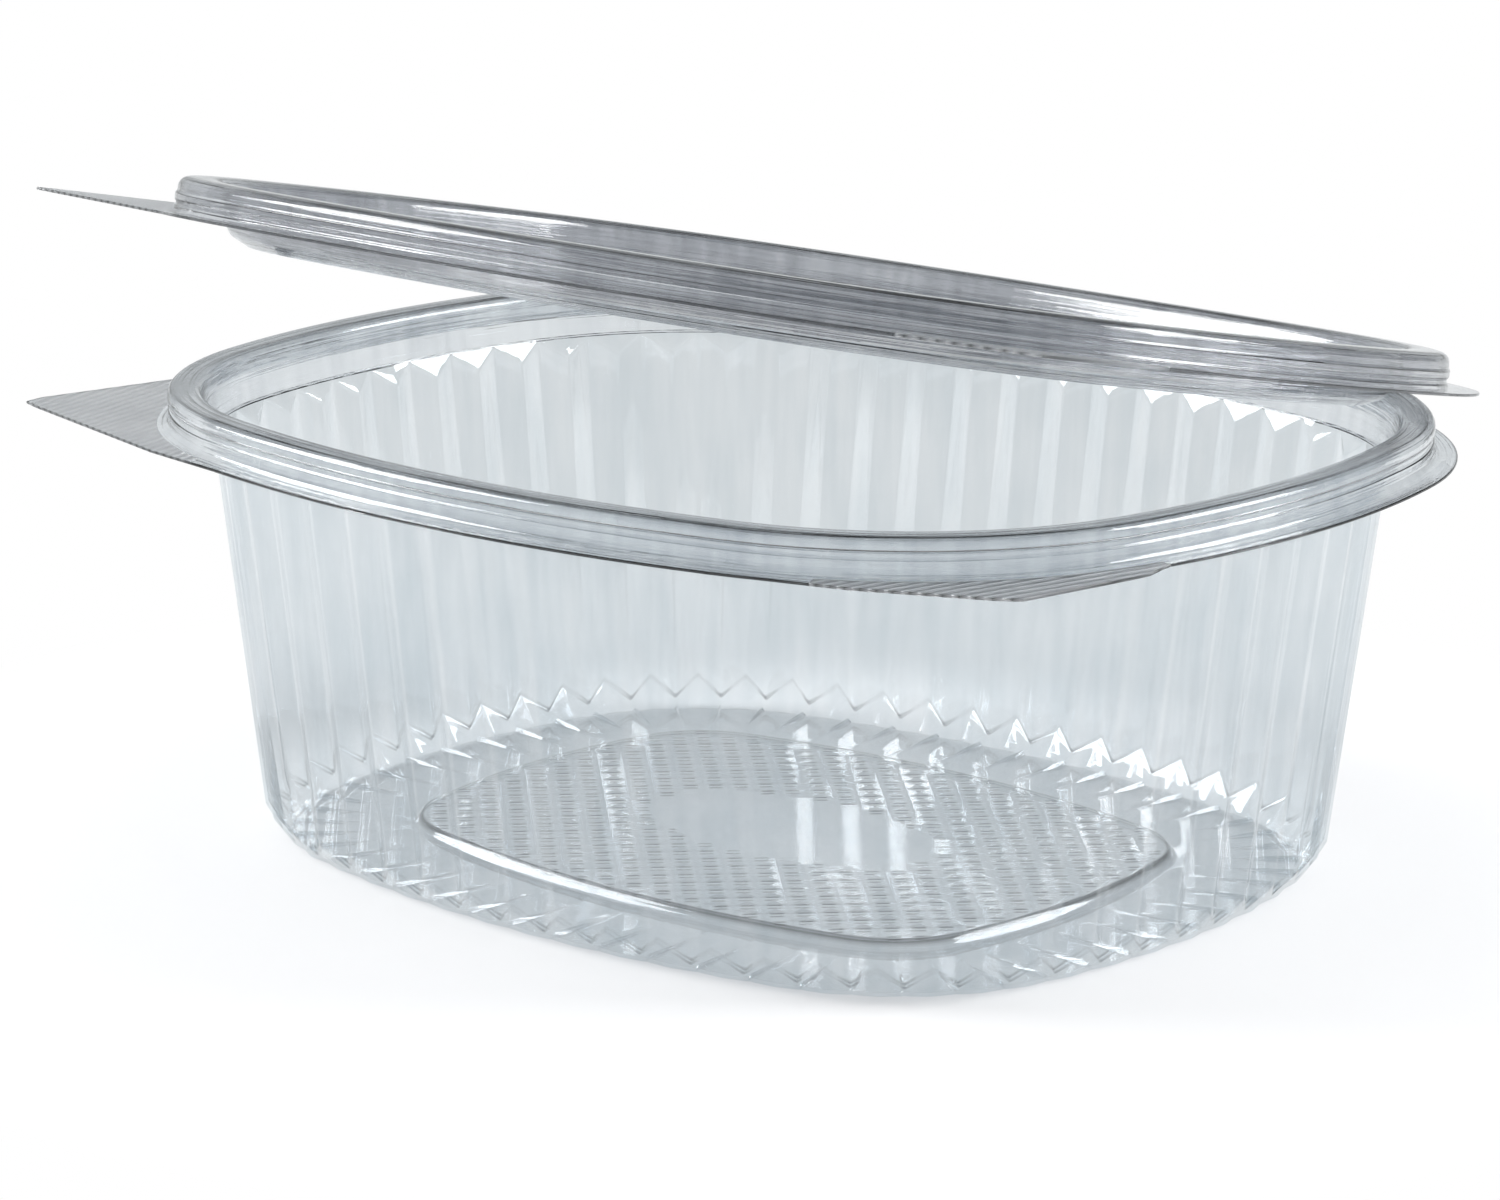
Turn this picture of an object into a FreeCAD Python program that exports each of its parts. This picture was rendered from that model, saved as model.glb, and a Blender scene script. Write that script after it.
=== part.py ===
import FreeCAD, Part
import math
import os

V = FreeCAD.Vector

# Oval deli container with a hinged lid, thermoformed from one thin clear sheet.
# Origin: on the table plane at the centre of the tray. +X along the long oval,
# -Y is the opening side, +Y the hinge side, +Z up. Millimetres.

# --- overall size (measured to the crest line of the tray's rim) ---
HALF_LENGTH = 90.0
HALF_WIDTH = 77.0
HEIGHT = 68.2
SHEET = 0.4

# --- oval outline: four pairs of tangent arcs ---
LONG_SIDE_R = 197.1
SHORT_SIDE_R = 142.45
CORNER_R = 52.36

# --- tray rim: offsets are outward from the crest line, drops are below it ---
BAND_TOP = -5.0
BAND_BOTTOM = -6.0
LEDGE_DROP = 7.2
BEAD_WALL = 0.1
UNDERCUT = -0.25
UNDERCUT_DROP = 4.5
BEAD_IN_R = 1.5
BEAD_OUT_R = 1.2
UNDERCUT_R = 0.6
ROOT_LIP = 0.4
ROOT_LIP_RISE = 0.25
FLANGE_ROOT = 1.3
FLANGE_OUT = 3.4
FLANGE_DROP = 5.4

# --- fluted wall: outer lines (valleys) and inner lines (ridges) of the flutes ---
FLUTES = 57
LEDGE_WIDTH = 0.9
FLUTE_DEPTH = 1.8
FLUTE_TOP_DROP = 2.8
CHAMFER_OUT = -13.6
CHAMFER_HEIGHT = 5.0
FOOT_OUT = -17.0
RIDGE_CHAMFER_RISE = 1.2
FLUTE_FOOT_RISE = 1.5

# --- floor panel, pushed up inside the foot ring ---
PANEL_OUT = -35.0
PANEL_STEP = 2.0
PANEL_RISE = 1.6

# --- lid, in its closed position over the tray ---
LID_CLEARANCE = 0.4
LID_WALL = 0.55
LID_FLANGE_OUT = 5.6
LID_FLANGE_GAP = 0.8
LID_RECESS_TOP = -5.5
LID_RECESS_MID = -6.4
LID_RECESS_MID_DROP = 4.6
LID_COVE = -7.7
LID_COVE_DROP = 6.9
LID_PANEL_OUT = -10.4
LID_PANEL_DROP = 8.2
LID_COVE_R = 1.2
LID_RECESS_R = 2.5
LID_CROWN_IN_R = 1.9
LID_CROWN_OUT_R = 1.6

# --- grip tabs on the two front corners ---
TAB_LONG = ((-1.0, 65.0), (4.2, 39.7), (9.0, 16.4), (8.0, 14.8), (-30.3, 4.2), (-50.0, 0.8))
TAB_SHORT = ((-3.5, 63.0), (1.3, 40.1), (-2.8, 18.5), (-4.8, 16.7), (-23.0, 8.1), (-44.0, 1.8))
TAB_ROOT = (30.0, 27.0)

# --- hinge ---
HINGE_REACH = 15.4
HINGE_ROOT = 20.0
LEAF_INSET = 0.6
HINGE_HALF = 50.0
HINGE_FLARE = 6.0
HINGE_GAP = 0.3
OPEN_ANGLE = 11.5

TOP = HEIGHT
FLANGE_Z = HEIGHT - FLANGE_DROP
LEDGE_Z = HEIGHT - LEDGE_DROP
HINGE_Y = HALF_WIDTH + HINGE_REACH
HINGE_Z = FLANGE_Z + HINGE_GAP / 2


def oval_arcs():
    """The oval's eight arcs, anticlockwise from +X: centre, radius, start and end angle."""
    a, b, r1, r2, rc = HALF_LENGTH, HALF_WIDTH, LONG_SIDE_R, SHORT_SIDE_R, CORNER_R
    long_c, short_c = (0.0, b - r1), (a - r2, 0.0)
    d1, d2 = r1 - rc, r2 - rc
    gap = math.hypot(short_c[0] - long_c[0], short_c[1] - long_c[1])
    u = ((short_c[0] - long_c[0]) / gap, (short_c[1] - long_c[1]) / gap)
    along = (d1 * d1 - d2 * d2 + gap * gap) / (2 * gap)
    side = math.sqrt(d1 * d1 - along * along)
    cx = long_c[0] + u[0] * along + u[1] * side
    cy = long_c[1] + u[1] * along - u[0] * side
    t1 = math.atan2(cy - long_c[1], cx - long_c[0])
    t2 = math.atan2(cy - short_c[1], cx - short_c[0])
    pi = math.pi
    return [
        (short_c, r2, -t2, t2),
        ((cx, cy), rc, t2, t1),
        (long_c, r1, t1, pi - t1),
        ((-cx, cy), rc, pi - t1, pi - t2),
        ((-short_c[0], 0.0), r2, pi - t2, pi + t2),
        ((-cx, -cy), rc, pi + t2, pi + t1),
        ((0.0, -long_c[1]), r1, pi + t1, 2 * pi - t1),
        ((cx, -cy), rc, 2 * pi - t1, 2 * pi - t2),
    ]


ARCS = oval_arcs()


def station(share):
    """Centre, radius and direction of the outline's normal at a share of the way round."""
    reference = (BAND_BOTTOM + CHAMFER_OUT) / 2
    lengths = [(r + reference) * (t1 - t0) for _, r, t0, t1 in ARCS]
    target = (share % 1.0) * sum(lengths) + lengths[0] / 2
    target = target % sum(lengths)
    for (centre, r, t0, t1), length in zip(ARCS, lengths):
        if target <= length:
            angle = t0 + (t1 - t0) * target / length
            return centre, r, angle
        target -= length
    return ARCS[0][0], ARCS[0][1], 0.0


def outline_point(where, offset, z):
    (cx, cy), r, angle = where
    return V(cx + (r + offset) * math.cos(angle), cy + (r + offset) * math.sin(angle), z)


def oval_wire(offset, z):
    edges = []
    for (cx, cy), r, t0, t1 in ARCS:
        p = [outline_point(((cx, cy), r, t), offset, z) for t in (t0, (t0 + t1) / 2, t1)]
        edges.append(Part.Arc(*p).toShape())
    return Part.Wire(edges)


def offset_path(points, distance):
    """A path (offset, z) moved sideways by a distance to its left, with mitred corners."""
    normals = []
    for (x0, z0), (x1, z1) in zip(points, points[1:]):
        length = math.hypot(x1 - x0, z1 - z0)
        normals.append((-(z1 - z0) / length, (x1 - x0) / length))
    moved = []
    for i, (x, z) in enumerate(points):
        n0 = normals[max(i - 1, 0)]
        n1 = normals[min(i, len(normals) - 1)]
        k = distance / (1 + n0[0] * n1[0] + n0[1] * n1[1])
        moved.append((x + (n0[0] + n1[0]) * k, z + (n0[1] + n1[1]) * k))
    return moved


def turn_left(p0, p1, p2):
    return (p1[0] - p0[0]) * (p2[1] - p1[1]) - (p1[1] - p0[1]) * (p2[0] - p1[0]) > 0


def path_edges(points, radii):
    """Lines with tangent arcs of the given radii at the inner corners, in the XZ plane."""
    edges = []
    last = points[0]
    for before, corner, after, r in zip(points, points[1:], points[2:], radii[1:-1]):
        u = (before[0] - corner[0], before[1] - corner[1])
        w = (after[0] - corner[0], after[1] - corner[1])
        lu, lw = math.hypot(*u), math.hypot(*w)
        u, w = (u[0] / lu, u[1] / lu), (w[0] / lw, w[1] / lw)
        half = math.acos(max(-1.0, min(1.0, u[0] * w[0] + u[1] * w[1]))) / 2
        if r < 0.05 or half > 1.5:
            edges.append((last, corner))
            last = corner
            continue
        reach = r / math.tan(half)
        start = (corner[0] + u[0] * reach, corner[1] + u[1] * reach)
        end = (corner[0] + w[0] * reach, corner[1] + w[1] * reach)
        m = (u[0] + w[0], u[1] + w[1])
        lm = math.hypot(*m)
        far = r / math.sin(half) - r
        middle = (corner[0] + m[0] / lm * far, corner[1] + m[1] / lm * far)
        edges.append((last, start))
        edges.append((start, middle, end))
        last = end
    edges.append((last, points[-1]))
    return edges


def swept_faces(points, radii):
    """A path carried round the oval: each of the eight arcs is one turned shell."""
    faces = []
    for (cx, cy), r, t0, t1 in ARCS:
        shapes = []
        for e in path_edges(points, radii):
            p = [V(r + x, 0, z) for x, z in e]
            shapes.append(Part.Arc(*p).toShape() if len(p) == 3 else Part.makeLine(*p))
        for shape in shapes:
            shape.rotate(V(0, 0, 0), V(0, 0, 1), math.degrees(t0))
            shape.translate(V(cx, cy, 0))
            turned = shape.revolve(V(cx, cy, 0), V(0, 0, 1), math.degrees(t1 - t0))
            faces.extend(turned.Faces)
    return faces


def both_skins(points, radii, thickness):
    """A path and its copy one sheet below it, swept; the end segments only set the mitres."""
    lower = offset_path(points, -thickness)
    low_radii = [0.0] * len(radii)
    for i in range(2, len(points) - 2):
        if radii[i] > 0:
            sign = 1 if turn_left(points[i - 1], points[i], points[i + 1]) else -1
            low_radii[i] = max(radii[i] + sign * thickness, 0.0)
    top, low = points[1:-1], lower[1:-1]
    faces = swept_faces(top, radii[1:-1]) + swept_faces(low, low_radii[1:-1])
    return faces, top, low


def ring_face(outer, inner):
    return Part.makeFace([outer, inner], "Part::FaceMakerBullseye").Faces[0]


def solid_from(faces):
    shell = Part.makeShell(faces)
    shell.sewShape()
    solid = Part.Solid(shell.Shells[0])
    if solid.Volume < 0:
        solid.reverse()
    return solid


def tab_points(points, side):
    """Corner tab outline: pairs are measured outward from the oval's front corner box."""
    pts = [V(side * (HALF_LENGTH + x), -(HALF_WIDTH - y), 0) for x, y in points]
    pts.append(V(side * (HALF_LENGTH - TAB_ROOT[0]), -(HALF_WIDTH - TAB_ROOT[1]), 0))
    return pts


def flat_piece(points):
    """Plane face of a closed polygon, always facing up."""
    turn = sum(p.x * q.y - q.x * p.y for p, q in zip(points, points[1:] + points[:1]))
    if turn < 0:
        points = points[::-1]
    return Part.Face(Part.makePolygon(points + points[:1]))


def flange_outline(offset, back_y):
    """Outer edge of a flange: the oval, its two grip tabs and the hinge strip, at z = 0."""
    tabs = [flat_piece(tab_points(TAB_LONG, -1)), flat_piece(tab_points(TAB_SHORT, 1))]
    root = HALF_WIDTH - HINGE_ROOT
    wide = HINGE_HALF + HINGE_FLARE
    strip = [V(-wide, root, 0), V(wide, root, 0), V(HINGE_HALF, back_y, 0), V(-HINGE_HALF, back_y, 0)]
    plate = Part.Face(oval_wire(offset, 0)).fuse(tabs + [flat_piece(strip)])
    return max(plate.removeSplitter().Faces, key=lambda f: f.Area).OuterWire


def flange_faces(outline, root_top, root_low, z):
    """Flat flange sheet between its outer edge and the foot of the bead."""
    top = outline.copy()
    top.translate(V(0, 0, z))
    low = outline.copy()
    low.translate(V(0, 0, z - SHEET))
    edge = top.extrude(V(0, 0, -SHEET)).Faces
    return [
        ring_face(top, oval_wire(root_top, z)),
        ring_face(low, oval_wire(root_low, z - SHEET)),
    ] + edge


def flute_lines(shift_out, shift_up):
    """The (offset, z) points of the valley and ridge lines; the ridges end on the plain chamfer."""
    wall_top = BAND_BOTTOM - LEDGE_WIDTH
    foot_z = SHEET
    up_chamfer = FLUTE_FOOT_RISE / (CHAMFER_HEIGHT - foot_z)
    valley = [(wall_top, LEDGE_Z), (CHAMFER_OUT, CHAMFER_HEIGHT), (FOOT_OUT, foot_z)]
    ridge = [
        (wall_top - FLUTE_DEPTH, LEDGE_Z - FLUTE_TOP_DROP),
        (CHAMFER_OUT - FLUTE_DEPTH, CHAMFER_HEIGHT + RIDGE_CHAMFER_RISE),
        (FOOT_OUT + (CHAMFER_OUT - FOOT_OUT) * up_chamfer, foot_z + FLUTE_FOOT_RISE),
    ]
    valley = [(o + shift_out, z + shift_up) for o, z in valley]
    ridge = [(o + shift_out, z + shift_up) for o, z in ridge]
    return valley, ridge


def triangle(p, q, r):
    return Part.Face(Part.makePolygon([p, q, r, p]))


def fluted_skin(shift_out, shift_up):
    """One skin of the fluted wall; also its top and foot edges, straight from valley to valley."""
    valley, ridge = flute_lines(shift_out, shift_up)
    valleys = [[outline_point(station(i / FLUTES), o, z) for o, z in valley] for i in range(FLUTES)]
    ridges = [
        [outline_point(station((i + 0.5) / FLUTES), o, z) for o, z in ridge] for i in range(FLUTES)
    ]
    faces = []
    for i in range(FLUTES):
        here, crest, there = valleys[i], ridges[i], valleys[(i + 1) % FLUTES]
        faces += [triangle(here[0], crest[0], there[0]), triangle(here[2], crest[2], there[2])]
        for side in (here, there):
            wall_line = Part.makeLine(side[0], side[1])
            ridge_line = Part.makeLine(crest[0], crest[1])
            faces.append(Part.makeRuledSurface(wall_line, ridge_line))
            faces += [triangle(side[1], crest[1], crest[2]), triangle(side[1], crest[2], side[2])]
    tops = [v[0] for v in valleys]
    feet = [v[2] for v in valleys]
    return faces, Part.makePolygon(tops + tops[:1]), Part.makePolygon(feet + feet[:1])


def tray():
    rim = [
        (BAND_BOTTOM - 1, LEDGE_Z),
        (BAND_BOTTOM, LEDGE_Z),
        (BAND_TOP, TOP),
        (BEAD_WALL, TOP),
        (UNDERCUT, TOP - UNDERCUT_DROP),
        (FLANGE_ROOT - ROOT_LIP, FLANGE_Z + ROOT_LIP_RISE),
        (FLANGE_ROOT, FLANGE_Z),
        (FLANGE_ROOT + 1, FLANGE_Z),
    ]
    radii = [0, 0, BEAD_IN_R, BEAD_OUT_R, UNDERCUT_R, 0, 0, 0]
    faces, top, low = both_skins(rim, radii, SHEET)
    crease = HINGE_Y - HINGE_GAP / 2
    outline = flange_outline(FLANGE_OUT, crease)
    faces += flange_faces(outline, top[-1][0], low[-1][0], FLANGE_Z)
    inner_faces, inner_top, inner_foot = fluted_skin(0.0, 0.0)
    outer_faces, outer_top, outer_foot = fluted_skin(SHEET, -SHEET)
    faces += inner_faces + outer_faces
    faces.append(ring_face(oval_wire(top[0][0], LEDGE_Z), inner_top))
    faces.append(ring_face(oval_wire(low[0][0], LEDGE_Z - SHEET), outer_top))
    for foot, z in ((inner_foot, SHEET), (outer_foot, 0.0)):
        step = [(PANEL_OUT, z), (PANEL_OUT - PANEL_STEP, z + PANEL_RISE)]
        faces.append(ring_face(foot, oval_wire(PANEL_OUT, z)))
        faces += swept_faces(step, [0, 0])
        faces.append(Part.Face(oval_wire(PANEL_OUT - PANEL_STEP, z + PANEL_RISE)))
    return solid_from(faces)


def hinge_leaf(start, z):
    """The lid's hinge strip, sloping down from its flange to the crease."""
    end = HINGE_Y - HINGE_GAP / 2
    z_end = HINGE_Z + HINGE_GAP / 2
    section = [(start, z), (end, z_end), (end, z_end + SHEET), (start, z + SHEET)]
    pts = [V(-HINGE_HALF, y, h) for y, h in section]
    face = Part.Face(Part.makePolygon(pts + pts[:1]))
    return face.extrude(V(2 * HINGE_HALF, 0, 0))


def lid():
    """Built closed over the tray, then swung open about the hinge line."""
    under = FLANGE_Z + LID_FLANGE_GAP
    crown = TOP + LID_CLEARANCE
    rim = [
        (LID_PANEL_OUT - 1, TOP - LID_PANEL_DROP),
        (LID_PANEL_OUT, TOP - LID_PANEL_DROP),
        (LID_COVE, TOP - LID_COVE_DROP),
        (LID_RECESS_MID, TOP - LID_RECESS_MID_DROP),
        (LID_RECESS_TOP, crown),
        (LID_WALL, crown),
        (LID_WALL, under),
        (LID_WALL + 1, under),
    ]
    rim = offset_path(rim, SHEET)
    radii = [0, 0, LID_COVE_R, LID_RECESS_R, LID_CROWN_IN_R, LID_CROWN_OUT_R, 0, 0]
    faces, top, low = both_skins(rim, radii, SHEET)
    leaf_start = HALF_WIDTH + LID_FLANGE_OUT + LEAF_INSET
    outline = flange_outline(LID_FLANGE_OUT, leaf_start)
    faces += flange_faces(outline, top[-1][0], low[-1][0], under + SHEET)
    for path in (top, low):
        faces.append(Part.Face(oval_wire(*path[0])))
    shape = solid_from(faces).fuse(hinge_leaf(leaf_start, under)).removeSplitter()
    shape = shape.Solids[0]
    shape.rotate(V(0, HINGE_Y, HINGE_Z), V(-1, 0, 0), OPEN_ANGLE)
    return shape


def main():
    os.makedirs("parts", exist_ok=True)
    for name, shape in (("tray", tray()), ("lid", lid())):
        shape.exportStep("parts/" + name + ".step")


main()
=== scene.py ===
import math

import bpy
import numpy as np
from mathutils import Matrix, Vector
from mathutils.geometry import delaunay_2d_cdt

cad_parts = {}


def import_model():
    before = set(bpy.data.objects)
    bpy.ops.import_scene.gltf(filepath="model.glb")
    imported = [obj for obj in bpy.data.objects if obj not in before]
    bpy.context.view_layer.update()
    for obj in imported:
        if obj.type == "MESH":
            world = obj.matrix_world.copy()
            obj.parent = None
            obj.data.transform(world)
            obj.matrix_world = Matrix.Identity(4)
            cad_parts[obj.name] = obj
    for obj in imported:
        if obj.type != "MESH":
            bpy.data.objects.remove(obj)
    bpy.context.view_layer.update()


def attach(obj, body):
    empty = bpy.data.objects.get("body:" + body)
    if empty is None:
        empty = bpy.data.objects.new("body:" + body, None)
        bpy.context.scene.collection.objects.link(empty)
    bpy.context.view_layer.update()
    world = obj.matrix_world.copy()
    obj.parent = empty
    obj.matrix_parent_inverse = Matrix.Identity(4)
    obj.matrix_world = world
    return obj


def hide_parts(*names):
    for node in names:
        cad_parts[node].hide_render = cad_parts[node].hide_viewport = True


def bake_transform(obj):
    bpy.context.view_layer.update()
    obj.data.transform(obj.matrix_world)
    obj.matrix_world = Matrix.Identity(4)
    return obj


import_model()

MM = 0.001

# Offsets are measured outward from the crest line of the tray's rim, heights up from the table.

# ---------------------------------------------------------------- sizes, as in the CAD part (mm)
HALF_LENGTH, HALF_WIDTH, TOP, SHEET = 90.0, 77.0, 68.2, 0.4
LONG_R, SHORT_R, CORNER_R = 197.1, 142.45, 52.36
BAND_TOP, BAND_BOTTOM, LEDGE_Z = -5.0, -6.0, TOP - 7.2
FLANGE_Z, FLANGE_OUT = TOP - 5.4, 3.4
FLUTES, WALL_TOP, FLUTE_DEPTH, FLUTE_DROP = 57, -6.9, 1.8, 2.8
CHAMFER_OUT, CHAMFER_Z, FOOT_OUT, FOOT_RISE = -13.6, 5.0, -17.0, 1.5
PANEL_OUT, PANEL_STEP, PANEL_RISE = -35.0, 2.0, 1.6
LID_FLANGE_OUT, LID_UNDER, LID_CROWN = 5.6, FLANGE_Z + 0.8, TOP + 0.4
TAB_LONG = ((-1.0, 65.0), (4.2, 39.7), (9.0, 16.4), (8.0, 14.8), (-30.3, 4.2), (-50.0, 0.8))
TAB_SHORT = ((-3.5, 63.0), (1.3, 40.1), (-2.8, 18.5), (-4.8, 16.7), (-23.0, 8.1), (-44.0, 1.8))
HINGE_Y, HINGE_Z, HINGE_GAP, HINGE_HALF, HINGE_FLARE = 92.4, FLANGE_Z + 0.15, 0.3, 50.0, 6.0
OPEN_ANGLE = 11.5                       # degrees
# how far back the lid's hinge strip starts to slope down
LEAF_START = HALF_WIDTH + LID_FLANGE_OUT + 0.6

# ---------------------------------------------------------------- sizes of the finer detail (mm)
# a flute's ridge and valley are rounded over this share of its width to each side
FOLD = 0.045
# the knurl's pitch and rise, and the bare oval in it: half its length, half its width, the power that
# shapes its outline, and the points round it
KNURL_PITCH, KNURL_RISE = 3.87, 0.16
BARE_LENGTH, BARE_WIDTH, BARE_POWER = 25.0, 13.5, 2.3
BARE_POINTS = 60
# how far the pyramids' corners and tips keep from the panel's edge, and what each millimetre of that
# adds to the level of the bare oval's curve that they keep outside
CORNER_CLEAR, TIP_CLEAR, BARE_CLEAR = 0.3, 0.9, 0.12
# the grip ribs, and the way that they follow one another on the right-hand tab
RIB_PITCH, RIB_DEPTH, RIB_WAY = 1.7, 0.3, (0.97, -0.24)
# the panel's step: distance out, share of its rise, and the painted shade that draws a dark line along its
# crease
PANEL_EDGE = ((-1.6, 1.0, 0.0), (-0.1, 1.0, 0.0), (0.35, 0.97, 1.0), (0.65, 0.84, 0.5), (1.0, 0.5, 0.0),
              (1.35, 0.16, 0.0), (1.65, 0.03, 0.0), (2.1, 0.0, 0.0), (3.4, 0.0, 0.0))
# the ribs on the foot ring, one at each flute's foot: distance in from its edge, share of their height
FOOT_RIB, FOOT_RIB_SHAPE = 0.7, ((9.0, 0.0), (7.0, 0.35), (4.0, 0.75), (1.5, 0.9), (0.4, 1.0))
# how far in the foot ring's own rings and the chamfer's foot swing at each ridge
FOOT_WAVE, FOOT_SCALLOP = 0.4, 0.8
# sections of the two rims, from the inside out: offset, height, rounding. The tray's is its top skin,
# with a band, a bead with a groove round its outside and a flange. The lid's is its underside, with the
# wall of its recess, a bead with steps round its outside and a flange. The first and last pieces only
# set the mitres.
TRAY_SECTION = (
    (BAND_BOTTOM - 1, LEDGE_Z, 0), (BAND_BOTTOM, LEDGE_Z, 0), (BAND_TOP, TOP, 1.5), (0.1, TOP, 1.2),
    (0.05, TOP - 1.9, 0.3), (-0.3, TOP - 2.2, 0.3), (-0.3, TOP - 2.8, 0.3), (0.0, TOP - 3.1, 0.3),
    (-0.15, FLANGE_Z, 1.3), (1.6, FLANGE_Z, 0), (2.3, FLANGE_Z, 0),
)
LID_SECTION = (
    (-11.4, TOP - 8.2, 0), (-10.4, TOP - 8.2, 0), (-7.7, TOP - 6.9, 1.2), (-6.4, TOP - 4.6, 2.5),
    (-5.5, LID_CROWN, 1.9), (0.3, LID_CROWN, 1.6), (0.3, LID_CROWN - 1.9, 0.3),
    (0.55, LID_CROWN - 2.2, 0.3), (0.55, LID_CROWN - 2.9, 0.3), (0.3, LID_CROWN - 3.2, 0.3),
    (0.3, LID_CROWN - 3.9, 0.3), (0.55, LID_CROWN - 4.2, 0.3), (0.55, LID_UNDER, 0), (1.55, LID_UNDER, 0),
)
# how much painted shade lies along a bead's crest, standing in for the light it bends away there, and over
# how much depth that fades out
BEAD_CREST_SHADE, BEAD_CREST_SHADE_DEPTH = 0.55, 0.5
# how far in from the recess's wall the rings of the lid's panel lie
LID_PANEL_ROWS = (6.0, 0.4)
# where a tab's outline and the hinge strip's close, well inside the oval, and how far past the
# flange's edge a column has to run to be a tab's
TAB_ROOT, HINGE_ROOT, TAB_START = (-30.0, 27.0), HALF_WIDTH - 20, 0.6
# the web that stands for the hinge's crease: its inner and outer faces, what it lacks at each end,
# what it laps over the strips, and its columns and rows of points
WEB_INNER, WEB_OUTER, WEB_SHORT, WEB_LAP = HINGE_Y - 0.45, HINGE_Y - 0.1, 0.2, 0.05
WEB_COLUMNS, WEB_ROWS = 41, 6
# the flange's edge: how far back its flat ends and its rounding starts, and the rounding: back, down
EDGE_FLAT, EDGE_START = 0.3, 0.12
EDGE_ROUND = ((EDGE_START, 0.0), (0.02, 0.08), (0.02, SHEET - 0.08), (EDGE_START, SHEET))
# rings, as shares of the way up the chamfer, a flute and the facet at its top, and out along a flange
CHAMFER_ROWS, FLUTE_ROWS = (0.06, 0.35, 0.7, 0.94), (0.012, 0.06, 0.35, 0.7, 0.97, 0.988, 0.997)
FACET_ROWS, FLANGE_ROWS = (0.03, 0.5, 0.97), (0.25, 0.6, 0.9)
SHARP_ANGLE = math.radians(24)


# ---------------------------------------------------------------- the oval outline
def oval_arcs():
    """The crest line as eight tangent arcs: centre x, y, radius, first and last angle."""
    a, b, r1, r2, rc = HALF_LENGTH, HALF_WIDTH, LONG_R, SHORT_R, CORNER_R
    lc, sc = (0.0, b - r1), (a - r2, 0.0)
    d1, d2 = r1 - rc, r2 - rc
    gap = math.hypot(sc[0] - lc[0], sc[1] - lc[1])
    u = ((sc[0] - lc[0]) / gap, (sc[1] - lc[1]) / gap)
    k = (d1 * d1 - d2 * d2 + gap * gap) / (2 * gap)
    h = math.sqrt(d1 * d1 - k * k)
    cx, cy = lc[0] + u[0] * k + u[1] * h, lc[1] + u[1] * k - u[0] * h
    t1, t2 = math.atan2(cy - lc[1], cx - lc[0]), math.atan2(cy - sc[1], cx - sc[0])
    p = math.pi
    return [
        (sc[0], 0.0, r2, -t2, t2), (cx, cy, rc, t2, t1), (0.0, lc[1], r1, t1, p - t1),
        (-cx, cy, rc, p - t1, p - t2), (-sc[0], 0.0, r2, p - t2, p + t2),
        (-cx, -cy, rc, p + t2, p + t1), (0.0, -lc[1], r1, p + t1, 2 * p - t1),
        (cx, -cy, rc, 2 * p - t1, 2 * p - t2),
    ]


ARCS = oval_arcs()


def stations(shares):
    """For shares of the way round: arc centre x, y, radius and normal angle, as arrays."""
    # the flutes are evenly spaced along the oval that the wall has half way up
    half_way_up = (BAND_BOTTOM + CHAMFER_OUT) / 2
    lengths = np.array([(r + half_way_up) * (t1 - t0) for _, _, r, t0, t1 in ARCS])
    ends = np.cumsum(lengths)
    target = (np.asarray(shares) * ends[-1] + lengths[0] / 2) % ends[-1]
    k = np.minimum(np.searchsorted(ends, target), len(ARCS) - 1)
    arc = np.array(ARCS)[k]
    part = (target - (ends[k] - lengths[k])) / lengths[k]
    return arc[:, 0], arc[:, 1], arc[:, 2], arc[:, 3] + (arc[:, 4] - arc[:, 3]) * part


# twelve columns a flute: flat faces that meet in a rounded ridge and a rounded valley
PHASE = np.array([0, FOLD / 2, FOLD, 0.25, 0.5 - FOLD, 0.5 - FOLD / 2,
                  0.5, 0.5 + FOLD / 2, 0.5 + FOLD, 0.75, 1 - FOLD, 1 - FOLD / 2])
VALLEY_D = np.minimum(PHASE, 1 - PHASE)
RIDGE_D = 0.5 - VALLEY_D
RIDGE = np.where(VALLEY_D < FOLD, FOLD + VALLEY_D ** 2 / FOLD,
                 np.where(RIDGE_D < FOLD, 1 - FOLD - RIDGE_D ** 2 / FOLD, 2 * VALLEY_D))
SHARE = ((np.arange(FLUTES)[:, None] + PHASE[None, :]) / FLUTES).ravel()
# for each column: 0 in a valley to 1 on a ridge, as seen from inside, and how high the foot rib is
W = np.tile(RIDGE, FLUTES)
RIB = np.tile(np.clip(1 - RIDGE_D / FOLD, 0, 1) ** 0.8, FLUTES)
# the centre and radius of the arc it lies on, and the angle it faces
CX, CY, CR, CA = stations(SHARE)
COS, SIN = np.cos(CA), np.sin(CA)
COLS = len(SHARE)


def ring(offset, z, crease=0.0):
    """One ring of points at an offset and height (mm), each a number or one value a column.
    The fourth value is how much painted shade the materials lay along a crease there."""
    r = CR + offset
    return np.column_stack([CX + r * COS, CY + r * SIN, np.zeros(COLS) + z, np.zeros(COLS) + crease])


def rings_between(start, end, shares):
    """Rings at shares of the way between two lines, each given as its offset and height."""
    (o0, z0), (o1, z1) = start, end
    return [ring(o0 + (o1 - o0) * t, z0 + (z1 - z0) * t) for t in shares]


# ---------------------------------------------------------------- profiles
def offset_path(points, d):
    """The path moved d to its left, with mitred corners."""
    seg = np.diff(np.array(points), axis=0)
    n = np.column_stack([-seg[:, 1], seg[:, 0]]) / np.hypot(seg[:, 0], seg[:, 1])[:, None]
    out = []
    for i, p in enumerate(points):
        n0, n1 = n[max(i - 1, 0)], n[min(i, len(n) - 1)]
        k = d / (1 + n0 @ n1)
        out.append((p[0] + (n0 + n1)[0] * k, p[1] + (n0 + n1)[1] * k))
    return out


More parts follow.
